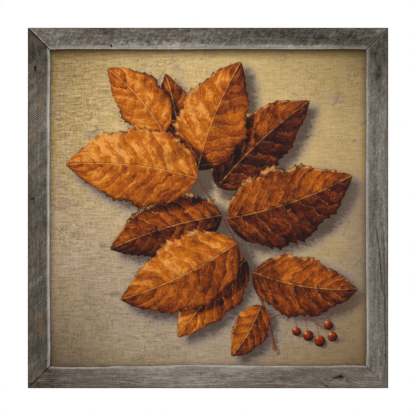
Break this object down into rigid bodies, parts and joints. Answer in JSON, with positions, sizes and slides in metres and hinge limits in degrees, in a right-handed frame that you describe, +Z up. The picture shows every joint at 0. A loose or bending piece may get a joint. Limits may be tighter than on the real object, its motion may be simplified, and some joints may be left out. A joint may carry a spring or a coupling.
{
  "type": "framed canvas picture",
  "caption": "Square stretched canvas with a painted autumn leaf spray, in a mitred frame of weathered grey boards, with clips, wall feet and a sawtooth hanger behind.",
  "frame": {"origin": "on the wall, under the middle notch of the sawtooth hanger, where the wall nail carries the frame", "axes": "+Z up, +Y into the wall, the picture faces -Y, +X to the viewer's right"},
  "size_m": [0.6826, 0.0406, 0.6825],
  "materials": {
    "weathered_wood": "grey weathered boards, band-sawn, with open grain and a paler worn inner lip",
    "painted_canvas": "cotton canvas, painted in matt cream, tan and rust, bare cotton behind",
    "pine": "planed raw pine",
    "zinc_plate": "dull zinc plating",
    "steel": "plain bright wire steel",
    "rubber": "matt black"
  },
  "bodies": {
    "root": {"rail_right": "weathered_wood", "rail_top": "weathered_wood", "rail_left": "weathered_wood", "rail_bottom": "weathered_wood", "stretcher_right": "pine", "stretcher_top": "pine", "stretcher_left": "pine", "stretcher_bottom": "pine", "canvas": "painted_canvas", "frame_vnail_bottom_left_1": "steel", "frame_vnail_bottom_left_2": "steel", "stretcher_vnail_bottom_left": "steel", "frame_vnail_bottom_right_1": "steel", "frame_vnail_bottom_right_2": "steel", "stretcher_vnail_bottom_right": "steel", "frame_vnail_top_right_1": "steel", "frame_vnail_top_right_2": "steel", "stretcher_vnail_top_right": "steel", "frame_vnail_top_left_1": "steel", "frame_vnail_top_left_2": "steel", "stretcher_vnail_top_left": "steel", "clip_right_1": "zinc_plate", "clip_screw_right_1": "steel", "clip_right_2": "zinc_plate", "clip_screw_right_2": "steel", "clip_top_1": "zinc_plate", "clip_screw_top_1": "steel", "clip_top_2": "zinc_plate", "clip_screw_top_2": "steel", "clip_left_1": "zinc_plate", "clip_screw_left_1": "steel", "clip_left_2": "zinc_plate", "clip_screw_left_2": "steel", "clip_bottom_1": "zinc_plate", "clip_screw_bottom_1": "steel", "clip_bottom_2": "zinc_plate", "clip_screw_bottom_2": "steel", "sawtooth_hanger": "zinc_plate", "hanger_brad_right": "steel", "hanger_brad_left": "steel", "bumper_bottom_left": "rubber", "bumper_bottom_right": "rubber", "bumper_top_right": "rubber", "bumper_top_left": "rubber"}
  },
  "joints": []
}
